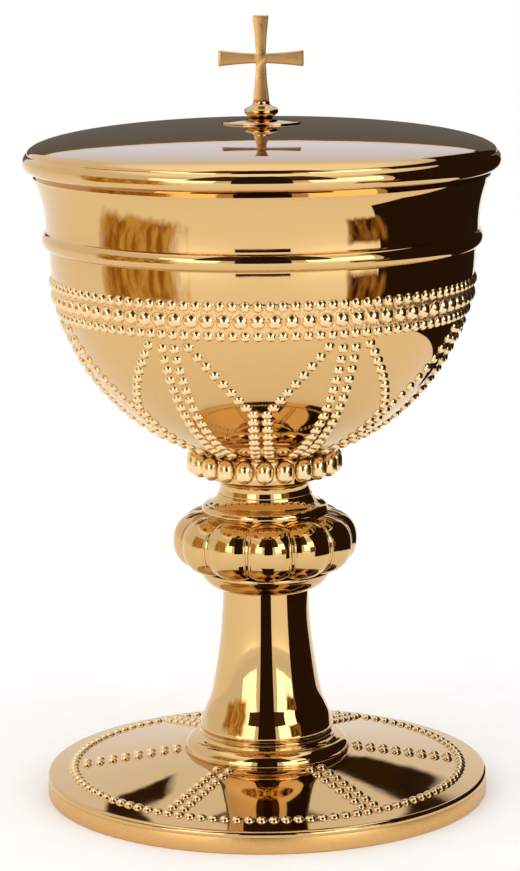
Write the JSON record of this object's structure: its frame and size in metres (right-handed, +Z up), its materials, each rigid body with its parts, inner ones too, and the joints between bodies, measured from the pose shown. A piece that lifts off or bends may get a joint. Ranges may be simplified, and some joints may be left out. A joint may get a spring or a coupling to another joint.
{
  "type": "ciborium vessel",
  "caption": "Lidded ciborium: footed gilt cup with beaded bowl, lobed knop, bell stem and domed lid topped by a small cross.",
  "frame": {"origin": "middle of the foot's bottom face", "axes": "+Z up along the vessel's axis, -Y towards the front, +X to the right"},
  "size_m": [0.1322, 0.1322, 0.2192],
  "materials": {
    "polished_gilt": "mirror polished gilding over spun brass",
    "satin_gilt": "satin brushed gilding",
    "beaded_gilt": "gilded beading, bright on top and matt between",
    "fastener_brass": "plain turned brass"
  },
  "bodies": {
    "vessel": {"foot_rim": "satin_gilt", "foot_plate": "polished_gilt", "foot_bead_ring": "beaded_gilt", "foot_spokes": "beaded_gilt", "stem_flange": "polished_gilt", "stem": "polished_gilt", "knop_lower_ring": "polished_gilt", "knop": "polished_gilt", "knop_upper_ring": "polished_gilt", "neck": "polished_gilt", "cup_boss": "fastener_brass", "bead_collar": "beaded_gilt", "cup_shell": "polished_gilt", "cup_band": "polished_gilt", "bead_row_upper": "beaded_gilt", "bead_row_middle": "beaded_gilt", "bead_row_lower": "beaded_gilt", "bead_chevrons": "beaded_gilt", "bead_meridians": "beaded_gilt", "tie_rod": "fastener_brass", "rod_washer": "fastener_brass", "rod_nut": "fastener_brass"},
    "lid": {"lid_shell": "polished_gilt", "lid_locating_ring": "polished_gilt", "finial_saucer": "polished_gilt", "finial_bulb": "polished_gilt", "cross": "satin_gilt", "finial_stud": "fastener_brass", "finial_washer": "fastener_brass", "finial_nut": "fastener_brass"}
  },
  "joints": [
    {"name": "lid_lift", "type": "slide", "parent": "vessel", "child": "lid", "axis": [0, 0, 1], "range_m": [0, 0.08]}
  ]
}
